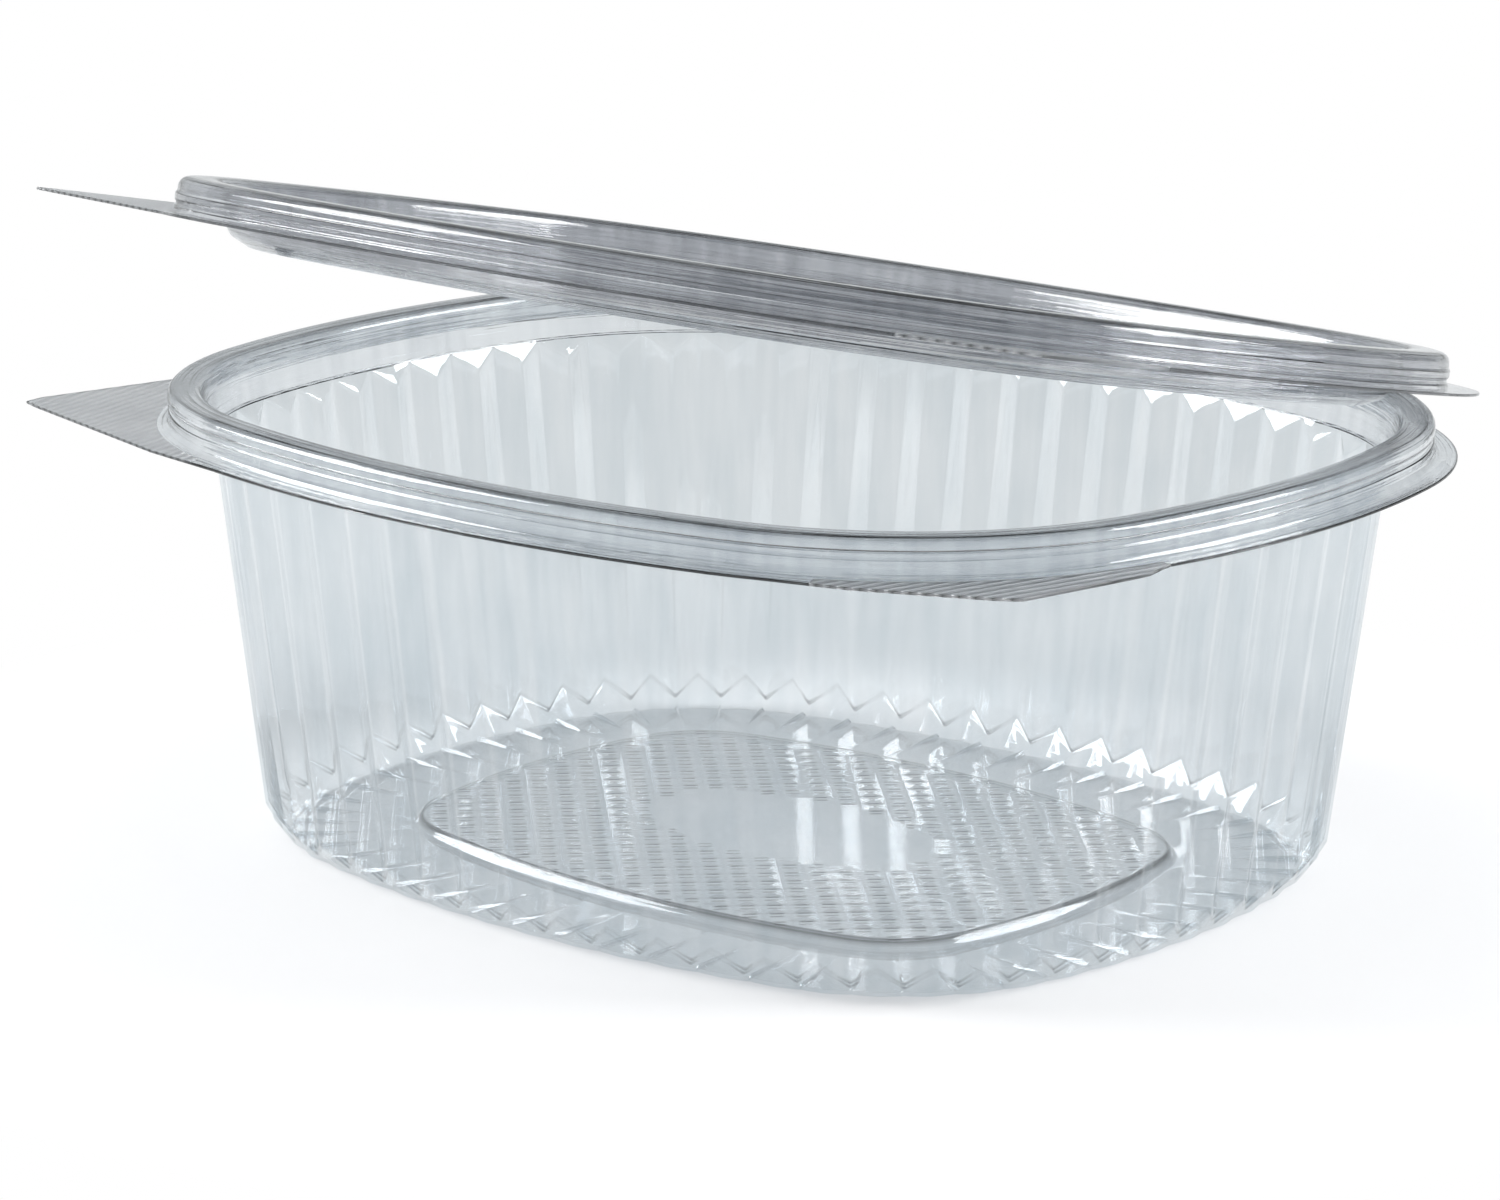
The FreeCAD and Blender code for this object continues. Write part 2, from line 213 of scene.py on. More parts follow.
def rounded(points, radii):
    """The path with tangent arcs at its corners, as a list of points."""
    pts = [np.array(p, float) for p in points]
    out = [pts[0]]
    for a, c, b, r in zip(pts, pts[1:], pts[2:], radii[1:-1]):
        u, v = (a - c) / np.linalg.norm(a - c), (b - c) / np.linalg.norm(b - c)
        half = math.acos(max(-1.0, min(1.0, float(u @ v)))) / 2
        if r < 0.05 or half > 1.5:      # a sharp corner, or hardly a corner at all
            out.append(c)
            continue
        reach = r / math.tan(half)
        m = (u + v) / np.linalg.norm(u + v)
        centre = c + m * r / math.sin(half)
        p0, p1 = c + u * reach - centre, c + v * reach - centre
        turn = math.pi - 2 * half
        sign = 1 if p0[0] * p1[1] - p0[1] * p1[0] > 0 else -1
        steps = 3 if r < 0.75 else 5    # fewer on a small arc
        for k in range(steps + 1):
            t = sign * turn * k / steps
            out.append(centre + np.array([p0[0] * math.cos(t) - p0[1] * math.sin(t),
                                          p0[0] * math.sin(t) + p0[1] * math.cos(t)]))
    out.append(pts[-1])
    return out


def skins(points, radii, d):
    """A path and its copy one sheet to the right; the end segments only set the mitres."""
    low = offset_path(points, -d)
    low_r = [0.0] * len(points)
    for i in range(2, len(points) - 2):
        (x0, z0), (x1, z1), (x2, z2) = points[i - 1], points[i], points[i + 1]
        left = (x1 - x0) * (z2 - z1) - (z1 - z0) * (x2 - x1) > 0
        if radii[i] > 0:
            low_r[i] = max(radii[i] + (d if left else -d), 0.0)
    return rounded(points[1:-1], radii[1:-1]), rounded(low[1:-1], low_r[1:-1])


# ---------------------------------------------------------------- flange outline: oval, tabs, hinge strip
def tab_polygon(points, side):
    """A grip tab's outline; its points count from the front corner of the oval's length and width."""
    return [(side * (HALF_LENGTH + x), -(HALF_WIDTH - y)) for x, y in (*points, TAB_ROOT)]


def flange_reach(offset, back_y):
    """How far out the flange runs in each column, measured as an offset from the crest line."""
    reach = np.full(COLS, float(offset))
    wide = HINGE_HALF + HINGE_FLARE
    strip = [(-wide, HINGE_ROOT), (wide, HINGE_ROOT), (HINGE_HALF, back_y), (-HINGE_HALF, back_y)]
    for poly in (tab_polygon(TAB_LONG, -1), tab_polygon(TAB_SHORT, 1), strip):
        for (x0, y0), (x1, y1) in zip(poly, poly[1:] + poly[:1]):
            ex, ey = x1 - x0, y1 - y0
            det = COS * -ey + SIN * ex
            safe = np.where(np.abs(det) < 1e-9, 1e-9, det)
            dist = ((x0 - CX) * -ey + (y0 - CY) * ex) / safe
            along = (COS * (y0 - CY) - SIN * (x0 - CX)) / safe
            # a column counts where it crosses this edge near the crest line or further out
            hit = (along >= 0) & (along <= 1) & (dist > CR - 5)
            reach = np.where(hit, np.maximum(reach, dist - CR), reach)
    return reach


def on_tab(reach, flange_out):
    """Which columns run out into a grip tab; both tabs are at the front."""
    return (reach > flange_out + TAB_START) & (SIN < 0)


# ---------------------------------------------------------------- the floor's knurl
def bare_edge():
    """Points round the bare oval in the middle of the floor."""
    out = []
    for k in range(BARE_POINTS):
        c, s = math.cos(2 * math.pi * k / BARE_POINTS), math.sin(2 * math.pi * k / BARE_POINTS)
        out.append((math.copysign(abs(c) ** (2 / BARE_POWER), c) * BARE_LENGTH,
                    math.copysign(abs(s) ** (2 / BARE_POWER), s) * BARE_WIDTH, 0.0))
    return out


def knurled_floor(loop):
    """Small square pyramids at 45 degrees inside a loop of points (x, y), around a bare oval.
    Gives the points inside the loop, with their rise, and triangles that count the loop's own first."""
    step = KNURL_PITCH * math.sqrt(2)
    side = np.roll(loop, -1, axis=0) - loop
    side /= np.linalg.norm(side, axis=1)[:, None]

    def clear_of_edges(x, y, margin):
        inward = side[:, 0] * (y - loop[:, 1]) - side[:, 1] * (x - loop[:, 0])
        bare = abs(x / BARE_LENGTH) ** BARE_POWER + abs(y / BARE_WIDTH) ** BARE_POWER
        return inward.min() > margin and bare > 1 + BARE_CLEAR * margin

    # corners of the pyramids have even numbers, their tips odd ones
    index, inner = {}, []
    half = int(HALF_LENGTH / step) + 1
    for i in range(-half, half):
        for j in range(-half, half):
            corner = (2 * i, 2 * j, 0.0, CORNER_CLEAR)
            tip = (2 * i + 1, 2 * j + 1, KNURL_RISE, TIP_CLEAR)
            for a, b, rise, margin in (corner, tip):
                x, y = (a + b) * step / 4, (a - b) * step / 4
                if clear_of_edges(x, y, margin):
                    index[a, b] = len(loop) + len(inner)
                    inner.append((x, y, rise))
    edges = []
    for (a, b), k in index.items():
        near = ((1, 1), (1, -1), (-1, 1), (-1, -1)) if a % 2 else ((2, 0), (0, 2))
        edges += [(k, index[a + p, b + q]) for p, q in near if (a + p, b + q) in index]
    first = len(loop) + len(inner)
    inner += bare_edge()
    edges += [(first + k, first + (k + 1) % BARE_POINTS) for k in range(BARE_POINTS)]

    flat = [Vector(p) for p in loop.tolist()] + [Vector(p[:2]) for p in inner]
    outline, inside_it, nearness = [list(range(len(loop)))], 1, 1e-5
    found, _, tris, origin, _, _ = delaunay_2d_cdt(flat, edges, outline, inside_it, nearness)
    # a point that the triangulation adds, where two edges cross, lies flat
    number = []
    for p, source in zip(found, origin):
        number.append(source[0] if source else len(loop) + len(inner))
        if not source:
            inner.append((p.x, p.y, 0.0))
    out = []
    for a, b, c in tris:
        turns_left = (found[b] - found[a]).cross(found[c] - found[a]) > 0
        out.append(tuple(number[k] for k in ((a, b, c) if turns_left else (a, c, b))))
    return np.column_stack([inner, np.zeros(len(inner))]), out


# ---------------------------------------------------------------- meshes
def sheet_uv(rings, triangles):
    """U runs once round the oval and v, in mm, across the sheet; the middle's triangles have none."""
    steps = [np.linalg.norm((b - a)[0, :3]) for a, b in zip(rings, rings[1:])]
    across = np.concatenate([[0], np.cumsum(steps)])
    quad = np.zeros((len(rings) - 1, COLS, 4, 2))
    quad[..., 0] = (np.arange(COLS) / COLS)[None, :, None] + np.array([0, 0, 1, 1]) / COLS
    quad[..., 1] = np.stack([across[:-1], across[1:], across[1:], across[:-1]], 1)[:, None, :]
    return np.concatenate([quad.ravel(), np.zeros(triangles * 3 * 2)])


def sheet_object(name, rings, middle_top, middle_low, middle, slots):
    """A closed skin from rings that run from the middle of the top skin out and back underneath.
    The triangles that fill the middle count the ring's points first and then the middle's own."""
    rows = len(rings)
    points = np.vstack(rings + [middle_top, middle_low])
    faces, mats = [], []
    for r in range(rows - 1):
        a, b = r * COLS, (r + 1) * COLS
        for j in range(COLS):
            nxt = (j + 1) % COLS
            faces.append((a + j, b + j, b + nxt, a + nxt))
            mats.append(slots(r, j))
    quads = len(faces)
    last = (rows - 1) * COLS
    low = last + len(middle_top)
    for tri in middle:
        faces.append(tuple(k if k < COLS else last + k for k in tri))
        faces.append(tuple(last + k if k < COLS else low + k for k in tri[::-1]))
        mats += [slots(-1, 0), slots(rows, 0)]
    mesh = bpy.data.meshes.new(name)
    mesh.from_pydata((points[:, :3] * MM).tolist(), [], faces)
    mesh.polygons.foreach_set("material_index", mats)
    uv = mesh.uv_layers.new(name="sheet")
    uv.data.foreach_set("uv", sheet_uv(rings, 2 * len(middle)))
    # the fourth values go to the materials as painted shade along the creases
    mesh.attributes.new("painted_shade_line", "FLOAT", "POINT").data.foreach_set("value", points[:, 3])
    mesh.set_sharp_from_angle(angle=SHARP_ANGLE)
    mesh.polygons.foreach_set("use_smooth", [i < quads for i in range(len(faces))])
    obj = bpy.data.objects.new(name, mesh)
    bpy.context.scene.collection.objects.link(obj)
    return obj


def wall_rings(o, z):
    """Rings of one skin of the tray from the panel edge out to the ledge, shifted by o and z."""
    foot_o, foot_z = FOOT_OUT + o, SHEET + z
    out = []
    for step_o, share, crease in PANEL_EDGE:
        out.append(ring(PANEL_OUT - PANEL_STEP + step_o, foot_z + PANEL_RISE * share, crease))
    for run, rise in FOOT_RIB_SHAPE:
        out.append(ring(foot_o - run - FOOT_WAVE * W, foot_z + FOOT_RIB * rise * RIB))
    # the chamfer is a plain cone up to a line that dips to a V at each ridge; the flutes stand on it
    dip = 1 - FOOT_RISE / (CHAMFER_Z - SHEET)
    v_o = CHAMFER_OUT - (CHAMFER_OUT - FOOT_OUT) * dip * W + o
    v_z = CHAMFER_Z - (CHAMFER_Z - SHEET) * dip * W + z
    out += rings_between((foot_o - FOOT_SCALLOP * W, foot_z), (v_o, v_z), CHAMFER_ROWS)
    facet_o, facet_z = WALL_TOP - FLUTE_DEPTH * W + o, LEDGE_Z - FLUTE_DROP * W + z
    # just above that line lies its crease, with painted shade along it that is strongest at the points of
    # the V
    v_painted_shade = 0.12 + 0.88 * W ** 8
    out.append(ring(v_o + (facet_o - v_o) * 0.002, v_z + (facet_z - v_z) * 0.003, v_painted_shade))
    out += rings_between((v_o, v_z), (facet_o, facet_z), FLUTE_ROWS)
    top_o, top_z = WALL_TOP + o, LEDGE_Z + z
    out += rings_between((facet_o, facet_z), (top_o, top_z), FACET_ROWS)
    out.append(ring(top_o + 0.08, top_z))       # a narrow row keeps the corner at the ledge sharp
    return out


def flange_rings(start, low_start, reach, z):
    """Flat flange: top skin outward, rounded edge, underside inward."""
    edge = reach - EDGE_START
    out = rings_between((start, z), (edge, z), FLANGE_ROWS)
    out.append(ring(reach - EDGE_FLAT, z))
    # the rounded edge carries full painted shade, a dark line along the flange's edge
    out += [ring(reach - back, z - down, 1.0) for back, down in EDGE_ROUND]
    out.append(ring(reach - EDGE_FLAT, z - SHEET))
    out += rings_between((low_start, z - SHEET), (edge, z - SHEET), FLANGE_ROWS[::-1])
    return out


def bead_rings(path, crest):
    """Rings along the bead, with painted shade along its crest, darkest at the crest itself, for the light
    that it bends away there.
    """
    return [ring(o, z, BEAD_CREST_SHADE * max(0.0, 1 - abs(z - crest) / BEAD_CREST_SHADE_DEPTH)) for o, z in path]


def tray_rings():
    """The tray's rings, how far its flange reaches, and the rows where its wall, rim and flange end."""
    top, low = skins([p[:2] for p in TRAY_SECTION], [p[2] for p in TRAY_SECTION], SHEET)
    reach = flange_reach(FLANGE_OUT, HINGE_Y - HINGE_GAP / 2)
    out = wall_rings(0.0, 0.0)
    n_wall = len(out) - 1
    out += bead_rings(top, TOP)
    n_rim = len(out)
    out += flange_rings(top[-1][0], low[-1][0], reach, FLANGE_Z)
    n_flange = len(out)
    out += [ring(*p) for p in low[::-1]]
    out += wall_rings(SHEET, -SHEET)[::-1]
    return out, reach, n_wall, n_rim, n_flange


def lid_rings():
    """The closed lid's rings, how far its flange reaches, the rows where its rim and flange end,
    and the heights of its panel's two skins."""
    section = offset_path([p[:2] for p in LID_SECTION], SHEET)
    top, low = skins(section, [p[2] for p in LID_SECTION], SHEET)
    reach = flange_reach(LID_FLANGE_OUT, HINGE_Y - HINGE_GAP / 2)
    out = [ring(top[0][0] - inward, top[0][1]) for inward in LID_PANEL_ROWS]
    out += bead_rings(top, LID_CROWN + SHEET)
    n_rim = len(out)
    out += flange_rings(top[-1][0], low[-1][0], reach, LID_UNDER + SHEET)
    n_flange = len(out)
    out += [ring(*p) for p in low[::-1]]
    out += [ring(low[0][0] - inward, low[0][1]) for inward in LID_PANEL_ROWS[::-1]]
    # the hinge strip slopes down to just above the tray's
    for r in out:
        slope = np.clip((r[:, 1] - LEAF_START) / (HINGE_Y - LEAF_START), 0, 1)
        r[:, 2] -= slope * (LID_UNDER - FLANGE_Z - HINGE_GAP)
    return out, reach, n_rim, n_flange, top[0][1], low[0][1]


def open_up(points):
    """Swings closed-lid points open about the hinge line."""
    c, s = math.cos(math.radians(OPEN_ANGLE)), math.sin(math.radians(OPEN_ANGLE))
    y, z = points[:, 1] - HINGE_Y, points[:, 2] - HINGE_Z
    return np.column_stack([points[:, 0], y * c + z * s + HINGE_Y, -y * s + z * c + HINGE_Z, points[:, 3]])


# ---------------------------------------------------------------- materials
REFRACTIVE_INDEX = 1.57
# what is left of the light that falls through the thick sheet and through the thin
THICK_SHADOW, THIN_SHADOW = (0.91, 0.92, 0.935), (0.745, 0.753, 0.76)


class Nodes:
    """A short way to write node trees."""

    def __init__(self, tree):
        tree.nodes.clear()
        self.tree = tree

    def new(self, kind, **values):
        """A node with its settings; one that starts with in_ is an input's, by its name."""
        node = self.tree.nodes.new("ShaderNode" + kind)
        for key, value in values.items():
            if key.startswith("in_"):
                node.inputs[key[3:].replace("_", " ")].default_value = value
            else:
                setattr(node, key, value)
        return node

    def link(self, a, b):
        self.tree.links.new(a, b)

    def feed(self, socket, value):
        """Links an output to the socket, or sets the socket to a plain value."""
        if isinstance(value, bpy.types.NodeSocket):
            self.link(value, socket)
        else:
            socket.default_value = value

    def math(self, op, a, b=None, clamp=False):
        """What the operation makes of a and b, each an output or a plain number."""
        node = self.new("Math", operation=op, use_clamp=clamp)
        self.feed(node.inputs[0], a)
        if b is not None:
            self.feed(node.inputs[1], b)
        return node.outputs[0]

    def above(self, value, start, gain):
        """0 up to start, and from there up to 1 at the rate of gain."""
        return self.math("MULTIPLY", self.math("SUBTRACT", value, start), gain, clamp=True)

    def below(self, value, start, gain):
        """0 down to start, and from there up to 1 at the rate of gain."""
        return self.math("MULTIPLY", self.math("SUBTRACT", start, value), gain, clamp=True)

    def wave(self, value, pitch):
        """A triangle wave, 0 to 1 and back over one pitch."""
        return self.math("MULTIPLY", self.math("PINGPONG", value, pitch / 2), 2 / pitch)

    def fade(self, value, start, end, at_start=0.0, at_end=1.0):
        """A smooth change from one level to another as the value runs from start to end."""
        node = self.new("MapRange", interpolation_type="SMOOTHSTEP")
        for socket, v in zip(node.inputs, (value, start, end, at_start, at_end)):
            self.feed(socket, v)
        return node.outputs[0]

    def noise(self, where, scale, stretch=(1.0, 1.0, 1.0)):
        """Soft noise; the smaller its stretch along an axis, the longer its streaks lie there."""
        squeeze = self.new("Mapping", in_Scale=stretch)
        self.link(where, squeeze.inputs["Vector"])
        node = self.new("TexNoise", in_Scale=scale, in_Detail=2.0)
        self.link(squeeze.outputs[0], node.inputs["Vector"])
        return node.outputs[0]

    def bump(self, height, strength, distance, normal=None):
        """A normal that a height (0 to 1) tilts, as if it rose by the distance (m)."""
        node = self.new("Bump", in_Strength=strength, in_Distance=distance)
        self.link(height, node.inputs["Height"])
        if normal:
            self.link(normal, node.inputs["Normal"])
        return node.outputs[0]

    def scaled(self, colour, level):
        """The colour times a level."""
        node = self.new("VectorMath", operation="SCALE")
        self.link(colour, node.inputs[0])
        self.link(level, node.inputs["Scale"])
        return node.outputs[0]

    def pick(self, flag, no, yes):
        """One level where the flag is 0 and another where it is 1."""
        node = self.new("Mix", data_type="FLOAT")
        for socket, v in zip((node.inputs[0], node.inputs[2], node.inputs[3]), (flag, no, yes)):
            self.feed(socket, v)
        return node.outputs[0]

    def pick_colour(self, flag, no, yes):
        """One colour where the flag is 0 and another where it is 1."""
        node = self.new("Mix", data_type="RGBA")
        for socket, v in zip((node.inputs[0], node.inputs[6], node.inputs[7]), (flag, no, yes)):
            self.feed(socket, (*v, 1) if isinstance(v, tuple) else v)
        return node.outputs[2]

    def mix_shader(self, factor, a, b):
        """The first shader where the factor is 0 and the second where it is 1."""
        node = self.new("MixShader")
        self.link(factor, node.inputs[0])
        self.link(a.outputs[0], node.inputs[1])
        self.link(b.outputs[0], node.inputs[2])
        return node


def new_material(name):
    """An empty material and the writer of its node tree."""
    mat = bpy.data.materials.new(name)
    mat.use_nodes = True
    return mat, Nodes(mat.node_tree)


def stretch_marks(n, where):
    """The sheet stretches unevenly as it is drawn: clouds, and streaks that run up the wall."""
    clouds = n.noise(where, 60.0)
    streaks = n.noise(where, 1.0, (420.0, 420.0, 14.0))
    return n.math("ADD", n.math("MULTIPLY", clouds, 0.5), n.math("MULTIPLY", streaks, 0.5))


def drawn_lines(n):
    """Fine lines that run along the rim, where the sheet is drawn over the mould's edges."""
    return n.noise(n.new("TexCoord").outputs["UV"], 1.0, (9.0, 1.5, 1.0))


def two_tone(n, value, low, high):
    """A colour that wanders between two tones with a noise."""
    ramp = n.new("ValToRGB")
    first, second = ramp.color_ramp.elements
    first.position, second.position = 0.38, 0.62
    first.color, second.color = (*low, 1), (*high, 1)
    n.link(value, ramp.inputs[0])
    return ramp.outputs[0]


def crease_painted_shade(n, strength, broken=None):
    """A level that falls along the sheet's creases: painted shade that stands in for the light they bend
    away; ribs break the line up.
    """
    line = n.new("Attribute", attribute_name="painted_shade_line").outputs["Fac"]
    if broken:
        line = n.math("MULTIPLY", line, n.math("ADD", n.math("MULTIPLY", broken, 1.1), 0.1))
    return n.math("SUBTRACT", 1.0, n.math("MULTIPLY", line, strength), clamp=True)


def uneven(n, marks):
    """The normal of a sheet that is not quite flat."""
    return n.bump(marks, 0.12, 0.0003)


def finish_sheet(n, surface, shadow):
    """Light falls through the sheet, so its shadow is faint: a plain colour, the same all over."""
    clear = n.new("BsdfTransparent", in_Color=(*shadow, 1))
    mix = n.mix_shader(n.new("LightPath").outputs["Is Shadow Ray"], surface, clear)
    n.link(mix.outputs[0], n.new("OutputMaterial").inputs["Surface"])


def thick_sheet(name, rough, low, high, pattern=None, depth=0.0):
    """Clear sheet where its bends show: it mirrors, and it bends what is behind it.
    A pattern is pressed in to a depth (m)."""
    mat, n = new_material(name)
    where = n.new("TexCoord").outputs["Object"]
    marks = stretch_marks(n, where)
    height = pattern and pattern(n, where)
    bsdf = n.new("BsdfPrincipled", in_Transmission_Weight=1.0, in_IOR=REFRACTIVE_INDEX, in_Roughness=rough)
    # the base colour is darkened by painted shade along the sheet's creases, broken up by a pattern's ribs
    n.link(n.scaled(two_tone(n, marks, low, high), crease_painted_shade(n, 0.75, height)), bsdf.inputs["Base Color"])
    normal = uneven(n, marks)
    if height:
        normal = n.bump(height, 1.0, depth, normal)
    n.link(n.bump(drawn_lines(n), 0.35, 0.0002, normal), bsdf.inputs["Normal"])
    finish_sheet(n, bsdf, THICK_SHADOW)
    return mat


def thin_sheet(name, rough, low, high, pattern=None):
    """Clear sheet drawn so thin that it mirrors but doesn't bend what is behind it.
    The side a ray meets first does the work of both skins; the other lets it through."""
    mat, n = new_material(name)
    where = n.new("TexCoord").outputs["Object"]
    marks = stretch_marks(n, where)
    # the tint is darkened by painted shade along the sheet's creases, and a pattern can darken it with
    # painted shade of its own
    tint = n.scaled(two_tone(n, marks, low, high), crease_painted_shade(n, 0.6))
    if pattern:
        tint = n.scaled(tint, pattern(n, where))
    clear = n.new("BsdfTransparent")
    n.link(tint, clear.inputs["Color"])
    normal = uneven(n, marks)
    mirror = n.new("BsdfGlossy", in_Color=(1, 1, 1, 1), in_Roughness=rough)
    n.link(normal, mirror.inputs["Normal"])
    fresnel = n.new("Fresnel", in_IOR=REFRACTIVE_INDEX)
    n.link(normal, fresnel.inputs["Normal"])
    # two skins mirror a little less than twice as much as one
    both_skins = n.math("MULTIPLY", fresnel.outputs[0], 1.8, clamp=True)
    met_first = n.math("SUBTRACT", 1.0, n.new("NewGeometry").outputs["Backfacing"])
    mix = n.mix_shader(n.math("MULTIPLY", both_skins, met_first), clear, mirror)
    finish_sheet(n, mix, THIN_SHADOW)
    return mat


def knurl_painted_shade(n, where):
    """Painted shade on the knurled floor, standing in for the light that the creases between its pyramids
    bend away:
    short dark dashes in slanting rows, and fainter lines between the rows."""
    pos = n.new("SeparateXYZ")
    n.link(where, pos.inputs[0])
    x, y = pos.outputs[0], pos.outputs[1]
    pitch = KNURL_PITCH * MM * math.sqrt(2)
    across, along = n.wave(n.math("ADD", x, y), pitch), n.wave(n.math("SUBTRACT", x, y), pitch)
    ex = n.math("POWER", n.math("ABSOLUTE", n.math("DIVIDE", x, BARE_LENGTH * MM)), BARE_POWER)
    ey = n.math("POWER", n.math("ABSOLUTE", n.math("DIVIDE", y, BARE_WIDTH * MM)), BARE_POWER)
    outside = n.above(n.math("ADD", ex, ey), 0.97, 16.0)
    dash = n.math("MULTIPLY", n.below(along, 0.26, 4.5), n.above(across, 0.36, 3.5))
    gap = n.math("MULTIPLY", n.below(across, 0.3, 1.4), 0.12)
    dark = n.math("MULTIPLY", n.math("MAXIMUM", dash, gap), outside)
    return n.math("SUBTRACT", 1.0, n.math("MULTIPLY", dark, 0.62))


def ribs(n, where):
    """Fine grip ribs across the corner tabs, square to the front edge of each."""
    pos = n.new("SeparateXYZ")
    n.link(where, pos.inputs[0])
    x = n.math("ABSOLUTE", pos.outputs[0])
    right, back = n.math("MULTIPLY", x, RIB_WAY[0]), n.math("MULTIPLY", pos.outputs[1], RIB_WAY[1])
    return n.wave(n.math("ADD", right, back), RIB_PITCH * MM)


WALL = thin_sheet("drawn_wall_sheet", 0.03, (0.918, 0.934, 0.944), (0.965, 0.971, 0.976))
RIM = thick_sheet("rim_sheet", 0.0, (0.72, 0.745, 0.77), (0.84, 0.86, 0.875))
GRIP = thick_sheet("grip_tab_sheet", 0.28, (0.73, 0.74, 0.755), (0.85, 0.855, 0.865), ribs, RIB_DEPTH * MM)
LID_RIM = thick_sheet("lid_rim_sheet", 0.0, (0.63, 0.64, 0.665), (0.78, 0.79, 0.81))
# the floor's sheet is darkened by the pyramids' painted shade
KNURLED = thin_sheet("floor_knurl_sheet", 0.09, (0.91, 0.925, 0.935), (0.96, 0.965, 0.97), knurl_painted_shade)
# numbers of a piece's material slots; the first holds the tray's rim sheet or the lid's
RIM_SLOT, GRIP_SLOT, KNURLED_SLOT, WALL_SLOT = 0, 1, 2, 3


def slot_chooser(rows, middle_slot, wall_rows, grip_rows, tab):
    """Gives the function that says which material slot a face takes, by its row and column.
    The wall's rows come first in the top skin and last in the low one."""
    def choose(row, col):
        if row < 1 or row >= rows - 2:
            return middle_slot
        if row < wall_rows or row >= rows - 1 - wall_rows:
            return WALL_SLOT
        return GRIP_SLOT if row in grip_rows and tab[col] else RIM_SLOT
    return choose


# ---------------------------------------------------------------- the two pieces
def make_tray():
    """The tray, with the knurled floor in its middle."""
    rings, reach, n_wall, n_rim, n_flange = tray_rings()
    inner, tris = knurled_floor(rings[0][:, :2])
    grip_rows, tab = range(n_rim - 1, n_flange), on_tab(reach, FLANGE_OUT)
    slots = slot_chooser(len(rings), KNURLED_SLOT, n_wall, grip_rows, tab)
    top, low = inner + (0, 0, SHEET + PANEL_RISE, 0), inner + (0, 0, PANEL_RISE, 0)
    return sheet_object("tray_shell", rings, top, low, tris, slots)


def make_lid():
    """The lid, swung partly open, with a fan of triangles in the middle of its panel."""
    rings, reach, n_rim, n_flange, top_z, low_z = lid_rings()
    grip_rows, tab = range(n_rim - 1, n_flange), on_tab(reach, LID_FLANGE_OUT)
    slots = slot_chooser(len(rings), WALL_SLOT, 0, grip_rows, tab)
    top, low = (open_up(np.array([[0, 0, z, 0]])) for z in (top_z, low_z))
    fan = [(j, (j + 1) % COLS, COLS) for j in range(COLS)]
    return sheet_object("lid_shell", [open_up(r) for r in rings], top, low, fan, slots)


tray, lid = make_tray(), make_lid()
for obj, body, node, rim in ((tray, "tray_body", "tray", RIM), (lid, "lid_body", "lid", LID_RIM)):
    for m in (rim, GRIP, KNURLED, WALL):
        obj.data.materials.append(m)
    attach(obj, body)
    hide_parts(node)


def hinge_web():
    """The crease itself: a thin web from the tray's hinge strip up to the lid's."""
    low, high = FLANGE_Z - WEB_LAP, FLANGE_Z + HINGE_GAP + WEB_LAP
    columns = np.linspace(WEB_SHORT - HINGE_HALF, HINGE_HALF - WEB_SHORT, WEB_COLUMNS)
    rows = np.linspace(low, high, WEB_ROWS)
    verts = [(x, y, z) for y in (WEB_INNER, WEB_OUTER) for z in rows for x in columns]
    nc, nr = len(columns), len(rows)
    back = nr * nc
    faces = []
    for r in range(nr - 1):
        for c in range(nc - 1):
            i = r * nc + c
            j = i + back
            faces.append((i, i + 1, i + nc + 1, i + nc))
            faces.append((j, j + nc, j + nc + 1, j + 1))
    for c in range(nc - 1):
        t = (nr - 1) * nc + c
        faces.append((c, c + back, c + 1 + back, c + 1))
        faces.append((t, t + 1, t + 1 + back, t + back))
    for r in range(nr - 1):
        i, e = r * nc, r * nc + nc - 1
        faces.append((i, i + nc, i + nc + back, i + back))
        faces.append((e, e + back, e + nc + back, e + nc))
    mesh = bpy.data.meshes.new("hinge_web")
    mesh.from_pydata((np.array(verts) * MM).tolist(), [], faces)
    mesh.materials.append(WALL)
    obj = bpy.data.objects.new("hinge_web", mesh)
    bpy.context.scene.collection.objects.link(obj)
    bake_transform(obj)


hinge_web()


# ---------------------------------------------------------------- stage, light and camera
# the camera's angles, its distance (m) from a point above the middle of the table, its focal length and
# sensor (mm), its shift in sensor widths, and the range that it sees (m)
VIEW_AZIMUTH, VIEW_ELEVATION, VIEW_ROLL = math.radians(39.87), math.radians(14.61), math.radians(0.52)
VIEW_DISTANCE, AIM_HEIGHT = 0.768, 0.030
LENS, SENSOR_WIDTH, SHIFT_X, SHIFT_Y = 124.3584, 36.0, -0.0289333, 0.0308
NEAR, FAR = 0.01, 20.0
# the directions, seen from the box, of the camera and of the middle of the room's dim side
FRONT = VIEW_AZIMUTH - math.pi / 2
DIM_SIDE = FRONT + math.radians(40.0)
# the tones seen through the sheet, away from the box and right under it, and the table's own tone
# seen plainly and mirrored. On the table, the tones seen through the sheet and mirrored are painted shade:
# it is drawn darker there than where it is seen plainly, and least dark right under the box
BEHIND, BENEATH = (0.645, 0.675, 0.69), (0.92, 0.942, 0.952)
FLOOR_PLAIN, FLOOR_MIRRORED = (0.96, 0.96, 0.965), (0.74, 0.76, 0.77)
FLOOR_HALF, FLOOR_Z = 3.0, -0.0001
# how far out from the middle the tone under the box and the table's own tone start and end fading (m)
BENEATH_FADE, FLOOR_FADE = (0.07, 0.115), (0.105, 0.165)
# the lamps' distance (m) from the point that they face, and their angle above it
LAMP_DISTANCE, LAMP_HEIGHT, LAMP_AIM = 1.2, 31.0, Vector((0, 0, 0.05))
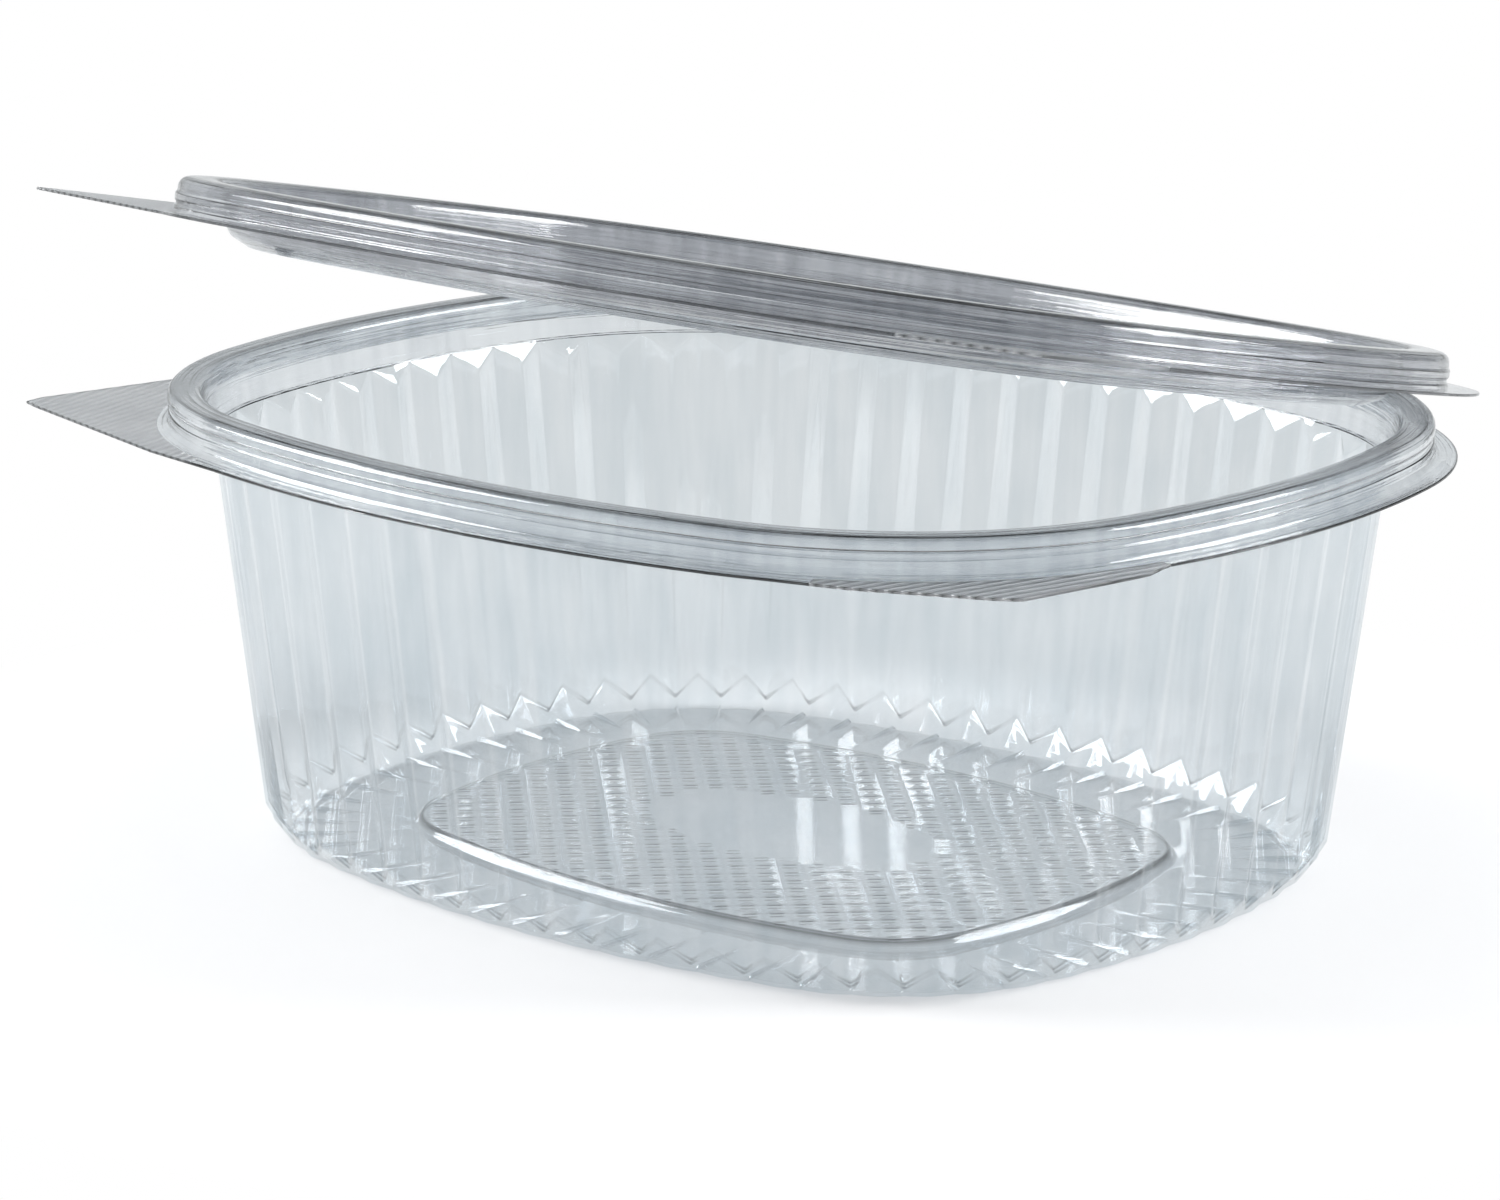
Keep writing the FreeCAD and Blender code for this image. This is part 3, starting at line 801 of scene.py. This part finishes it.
# the backdrop's level as a source of soft light
SOFT_LIGHT = 0.62
BOUNCES = 16


def through_sheet(n, path):
    """1 for a ray that comes to the backdrop through the clear sheet, not by a mirroring."""
    behind_any = n.math("GREATER_THAN", path.outputs["Transparent Depth"], 0.5)
    crossed = n.math("MULTIPLY", path.outputs["Is Camera Ray"], behind_any)
    return n.math("MAXIMUM", crossed, path.outputs["Is Transmission Ray"])


def backdrop():
    """The table; away from the box it runs out into the plain white backdrop."""
    mesh = bpy.data.meshes.new("floor")
    s, z = FLOOR_HALF, FLOOR_Z
    mesh.from_pydata([(-s, -s, z), (s, -s, z), (s, s, z), (-s, s, z)], [], [(0, 1, 2, 3)])
    floor = bpy.data.objects.new("floor", mesh)
    bpy.context.scene.collection.objects.link(floor)
    mat, n = new_material("floor_white")
    path = n.new("LightPath")
    length = n.new("VectorMath", operation="LENGTH")
    n.link(n.new("TexCoord").outputs["Object"], length.inputs[0])
    out = length.outputs["Value"]
    through = through_sheet(n, path)
    # painted shade: the table seen through the sheet or in a mirroring gets a darker tone than seen
    # plainly
    beneath = n.pick_colour(n.fade(out, *BENEATH_FADE), BENEATH, BEHIND)
    colour = n.pick_colour(through, FLOOR_PLAIN, beneath)
    colour = n.pick_colour(path.outputs["Is Glossy Ray"], colour, FLOOR_MIRRORED)
    diffuse = n.new("BsdfDiffuse")
    n.link(colour, diffuse.inputs["Color"])
    white = n.new("Emission", in_Color=(1, 1, 1, 1), in_Strength=1.0)
    seen_plainly = n.math("SUBTRACT", path.outputs["Is Camera Ray"], through, clamp=True)
    mix = n.mix_shader(n.math("MULTIPLY", n.fade(out, *FLOOR_FADE), seen_plainly), diffuse, white)
    n.link(mix.outputs[0], n.new("OutputMaterial").inputs["Surface"])
    mesh.materials.append(mat)


def world():
    """White backdrop. The sheet mirrors a room that is dim in front and to the right, and rays that
    it bends upward meet a dim ceiling."""
    w = bpy.data.worlds.new("studio")
    bpy.context.scene.world = w
    w.use_nodes = True
    n = Nodes(w.node_tree)
    path = n.new("LightPath")
    pos = n.new("SeparateXYZ")
    n.link(n.new("TexCoord").outputs["Generated"], pos.inputs[0])
    facing = n.math("ADD", n.math("MULTIPLY", pos.outputs[0], math.cos(DIM_SIDE)),
                    n.math("MULTIPLY", pos.outputs[1], math.sin(DIM_SIDE)))
    ceiling = n.fade(pos.outputs[2], 0.3, 0.55, 1.0, 0.15)
    dim_side = n.fade(facing, -0.55, -0.15, 1.0, 0.06)
    room = n.math("MULTIPLY", dim_side, n.fade(pos.outputs[2], 0.3, 0.6, 1.0, 0.3))
    level = n.pick(path.outputs["Is Transmission Ray"], room, ceiling)
    level = n.pick(path.outputs["Is Diffuse Ray"], level, SOFT_LIGHT)
    level = n.pick(path.outputs["Is Camera Ray"], level, 1.0)
    toned = n.math("MAXIMUM", through_sheet(n, path), path.outputs["Is Glossy Ray"])
    back = n.new("Background")
    n.link(n.pick_colour(toned, (1, 1, 1), BEHIND), back.inputs["Color"])
    n.link(level, back.inputs["Strength"])
    n.link(back.outputs[0], n.new("OutputWorld").inputs["Surface"])


def softbox(name, turn, size, power):
    """A soft lamp that faces the box; turn is its direction from the box, in degrees from the front.
    Its size is in metres and its power in watts."""
    data = bpy.data.lights.new(name, "AREA")
    data.shape = "RECTANGLE"
    data.size, data.size_y = size
    data.energy = power
    obj = bpy.data.objects.new(name, data)
    bpy.context.scene.collection.objects.link(obj)
    a, e = FRONT + math.radians(turn), math.radians(LAMP_HEIGHT)
    where = Vector((math.cos(a) * math.cos(e), math.sin(a) * math.cos(e), math.sin(e))) * LAMP_DISTANCE
    obj.location = where + LAMP_AIM
    obj.rotation_euler = (-where).to_track_quat("-Z", "Y").to_euler()
    obj.visible_camera = False


def camera():
    """A long lens, a little above the box and rolled a little."""
    az, el, roll = VIEW_AZIMUTH, VIEW_ELEVATION, VIEW_ROLL
    back = np.array([math.sin(az) * math.cos(el), -math.cos(az) * math.cos(el), math.sin(el)])
    level_right = np.array([math.cos(az), math.sin(az), 0.0])
    level_up = np.cross(back, level_right)
    right = level_right * math.cos(roll) + level_up * math.sin(roll)
    up = -level_right * math.sin(roll) + level_up * math.cos(roll)
    place = np.array([0, 0, AIM_HEIGHT]) + back * VIEW_DISTANCE
    data = bpy.data.cameras.new("photo_view")
    data.sensor_width, data.lens = SENSOR_WIDTH, LENS
    data.shift_x, data.shift_y = SHIFT_X, SHIFT_Y
    data.clip_start, data.clip_end = NEAR, FAR
    obj = bpy.data.objects.new("photo_view", data)
    obj.matrix_world = Matrix([[right[i], up[i], back[i], place[i]] for i in range(3)] + [[0, 0, 0, 1]])
    bpy.context.scene.collection.objects.link(obj)
    bpy.context.scene.camera = obj


backdrop()
world()
softbox("softbox_right", 93, (0.58, 0.50), 8.2)
softbox("softbox_left", -101, (0.64, 0.50), 9.2)
camera()
scene = bpy.context.scene
scene.view_settings.view_transform = "Standard"
scene.cycles.max_bounces = BOUNCES
scene.cycles.transmission_bounces = BOUNCES
scene.cycles.transparent_max_bounces = BOUNCES
